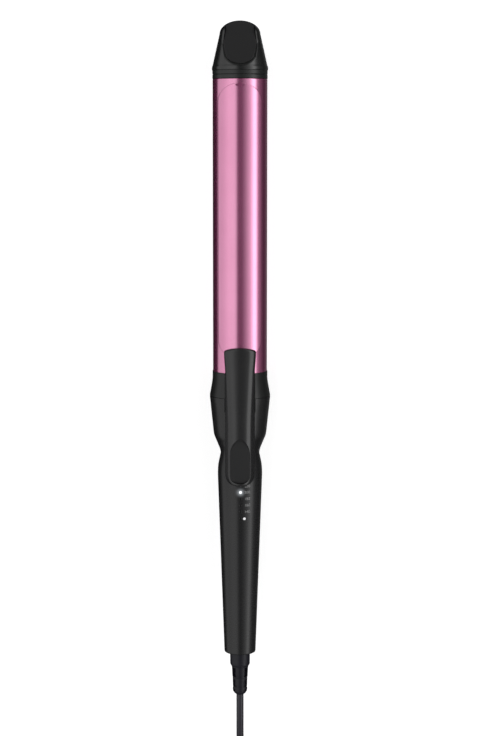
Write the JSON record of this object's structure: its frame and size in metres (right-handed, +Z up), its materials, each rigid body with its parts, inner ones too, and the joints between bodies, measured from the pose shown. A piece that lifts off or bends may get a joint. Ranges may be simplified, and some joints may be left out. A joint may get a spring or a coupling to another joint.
{
  "type": "curling wand",
  "caption": "Electric hair curling wand with a heated barrel, a sprung clip worked by a thumb lever, a cool tip, a fold-out wire stand and a swivel cord tied in a hank.",
  "frame": {"origin": "on the table under the wand's axis, half way between the end of the cool tip and the end of the strain relief; the cord, its hank and plug are not counted", "axes": "+Y from the cord end to the cool tip along the wand's axis, +Z up, on the side of the thumb lever, +X to the right when looking down with the tip away from you"},
  "size_m": [0.0572, 0.5859, 0.043],
  "materials": {
    "barrel_pink": "mirror-bright pink metallic coat",
    "clip_pink": "mirror-bright pink metallic coat",
    "tip_plastic": "satin black, fine grain",
    "ring_plastic": "satin black",
    "ferrule_plastic": "satin black",
    "handle_plastic": "satin black, fine spark-eroded grain",
    "lever_plastic": "satin black, smoother than the handle",
    "soft_pad": "matte soft-touch",
    "steel": "plain zinc-plated steel",
    "spring_steel": "drawn spring wire",
    "stand_wire": "polished nickel-plated wire",
    "aluminium": "extruded, plain",
    "heater_ceramic": "unglazed alumina",
    "sensor_glass": "small glass bead",
    "lead_sleeve": "woven glass sleeve",
    "carrier_plastic": "heat-proof moulding",
    "board_green": "solder-masked glass laminate",
    "part_plastic": "moulded electronic parts",
    "lamp_lens": "smoked light guides, one lit white",
    "brass": "bright contact metal",
    "key_plastic": "gloss black keys",
    "relief_rubber": "bluish black flexible PVC",
    "cord_sheath": "satin black PVC sheath",
    "tie_fabric": "black hook-and-loop strap",
    "plug_rubber": "satin black moulded PVC",
    "pin_metal": "nickel-plated brass pins"
  },
  "bodies": {
    "root": {"barrel_tube": "barrel_pink", "cool_tip": "tip_plastic", "tip_pad": "soft_pad", "tip_ring": "ring_plastic", "tip_screw": "steel", "heat_spreader_upper": "aluminium", "heat_spreader_lower": "aluminium", "heater_element": "heater_ceramic", "spreader_spring": "spring_steel", "thermistor": "sensor_glass", "thermal_fuse": "steel", "heater_leads": "lead_sleeve", "sensor_leads": "lead_sleeve", "barrel_carrier": "carrier_plastic", "ferrule": "ferrule_plastic", "handle_upper_shell": "handle_plastic", "handle_lower_shell": "handle_plastic", "handle_screws": "steel", "circuit_board": "board_green", "board_parts": "part_plastic", "switch_board": "board_green", "tact_switches": "part_plastic", "indicator_lenses": "lamp_lens", "hinge_bracket": "steel", "pivot_pin": "steel", "clip_spring": "spring_steel", "swivel_socket": "carrier_plastic", "slip_contacts": "brass", "supply_leads": "lead_sleeve", "cord_lead": "cord_sheath", "cord_hank": "cord_sheath", "cord_tail": "cord_sheath", "cord_tie": "tie_fabric", "plug_body": "plug_rubber", "plug_pins": "pin_metal"},
    "clip": {"clip_blade": "clip_pink", "clip_rivets": "steel", "lever": "lever_plastic", "thumb_pad": "soft_pad"},
    "power_key": {"power_button": "key_plastic"},
    "up_key": {"heat_up_button": "key_plastic"},
    "down_key": {"heat_down_button": "key_plastic"},
    "stand": {"stand_loop": "stand_wire"},
    "swivel": {"swivel_core": "carrier_plastic", "slip_rings": "brass", "strain_relief": "relief_rubber"}
  },
  "joints": [
    {"name": "clip_lever", "type": "hinge", "parent": "root", "child": "clip", "pos_m": [0, -0.0175, 0.03], "axis": [1, 0, 0], "range_deg": [0, 9], "stiffness_Nm_per_rad": 1.2, "springref_deg": -8.59, "deforming": ["clip_spring"]},
    {"name": "power_press", "type": "slide", "parent": "root", "child": "power_key", "axis": [-0.8192, 0, 0.5736], "range_m": [0, 0.0006], "stiffness_N_per_m": 900},
    {"name": "heat_up_press", "type": "slide", "parent": "root", "child": "up_key", "axis": [-0.8192, 0, 0.5736], "range_m": [0, 0.0006], "stiffness_N_per_m": 900},
    {"name": "heat_down_press", "type": "slide", "parent": "root", "child": "down_key", "axis": [-0.8192, 0, 0.5736], "range_m": [0, 0.0006], "stiffness_N_per_m": 900},
    {"name": "stand_fold", "type": "hinge", "parent": "root", "child": "stand", "pos_m": [0, -0.0215, 0.0033], "axis": [1, 0, 0], "range_deg": [0, 100]},
    {"name": "cord_swivel", "type": "hinge", "parent": "root", "child": "swivel", "pos_m": [0, -0.1752, 0.018], "axis": [0, 1, 0], "continuous": true}
  ]
}
